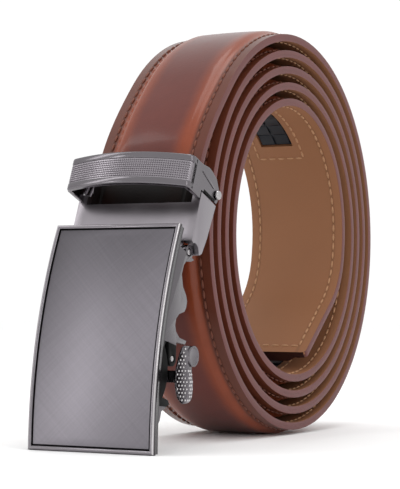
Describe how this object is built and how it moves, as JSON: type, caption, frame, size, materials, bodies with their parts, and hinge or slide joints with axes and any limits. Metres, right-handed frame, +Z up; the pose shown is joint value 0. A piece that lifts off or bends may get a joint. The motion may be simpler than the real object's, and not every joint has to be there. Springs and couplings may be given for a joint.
{
  "type": "ratchet belt",
  "caption": "Leather ratchet belt coiled on its edge, the strap's end clamped in a slide buckle with a curved face plate, a keeper loop and a side release lever.",
  "frame": {"origin": "middle of the footprint, on the surface that the belt stands on", "axes": "+Z up; +Y from the buckle's face back through the coil; +X across the strap, towards the lever's side"},
  "size_m": [0.049, 0.169, 0.1332],
  "materials": {
    "leather": "smooth, glossy, reddish brown",
    "lining": "matte tan lining leather",
    "track": "black moulded rack",
    "gunmetal": "polished gunmetal plating",
    "brushed_inlay": "brushed on the slant",
    "steel": "plain bright steel"
  },
  "bodies": {
    "strap_and_clamp": {"strap_leather": "leather", "strap_lining": "lining", "ratchet_track": "track", "clamp_housing": "gunmetal", "keeper_loop": "gunmetal", "jaw_rivet_right": "steel", "jaw_rivet_left": "steel", "hinge_pin": "steel"},
    "buckle": {"face_frame": "gunmetal", "face_inlay": "brushed_inlay", "buckle_base": "gunmetal", "lever_pin": "steel"},
    "lever": {"release_lever": "gunmetal"},
    "jaw": {"clamp_jaw": "steel"}
  },
  "joints": [
    {"name": "buckle_swing", "type": "hinge", "parent": "strap_and_clamp", "child": "buckle", "pos_m": [-0.0025, -0.06054, 0.0574], "axis": [-1, 0, 0], "range_deg": [0, 28]},
    {"name": "lever_press", "type": "hinge", "parent": "buckle", "child": "lever", "pos_m": [-0.0025, -0.07056, 0.02663], "axis": [1, 0, 0], "range_deg": [0, 15], "stiffness_Nm_per_rad": 0.03, "springref_deg": -20.05},
    {"name": "jaw_open", "type": "hinge", "parent": "strap_and_clamp", "child": "jaw", "pos_m": [-0.0025, -0.0465, 0.07481], "axis": [1, 0, 0], "range_deg": [0, 35]}
  ]
}
